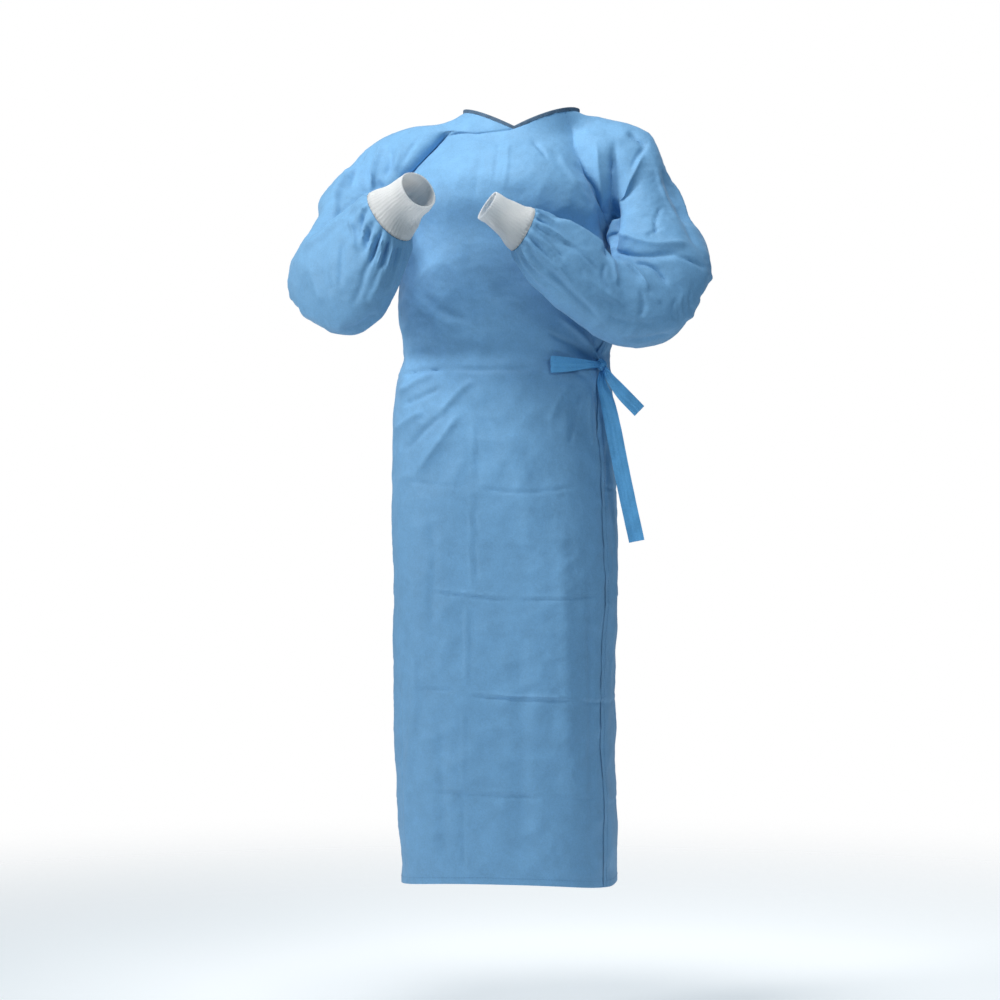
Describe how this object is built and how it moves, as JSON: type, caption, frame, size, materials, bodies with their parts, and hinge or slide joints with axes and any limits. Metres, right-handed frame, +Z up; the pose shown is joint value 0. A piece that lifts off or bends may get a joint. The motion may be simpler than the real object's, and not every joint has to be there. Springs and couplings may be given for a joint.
{
  "type": "surgical gown",
  "caption": "Wrap-back surgical gown in its worn shape with nobody inside: hollow body, raglan sleeves bent to the front, knitted cuffs, neck binding and side tie.",
  "frame": {"origin": "middle of the neck opening between the wearer's shoulders, at the height of the neck's sides less 20 mm", "axes": "+X to the wearer's left, +Y to the wearer's back, +Z up along the gown's length"},
  "size_m": [0.6475, 0.507, 1.2499],
  "materials": {
    "cloth": "matt nonwoven, light blue",
    "knit": "ribbed cotton knit, white",
    "binding": "matt bias tape, dark grey blue",
    "tie": "matt nonwoven folded in layers, deeper blue"
  },
  "bodies": {
    "root": {"front_panel": "cloth", "back_over": "cloth", "back_under": "cloth", "sleeve_right": "cloth", "sleeve_left": "cloth", "cuff_right": "knit", "cuff_left": "knit", "neck_binding": "binding", "tie_knot": "tie", "tie_loop": "tie", "tie_short_end": "tie", "tie_long_tail": "tie"}
  },
  "joints": []
}
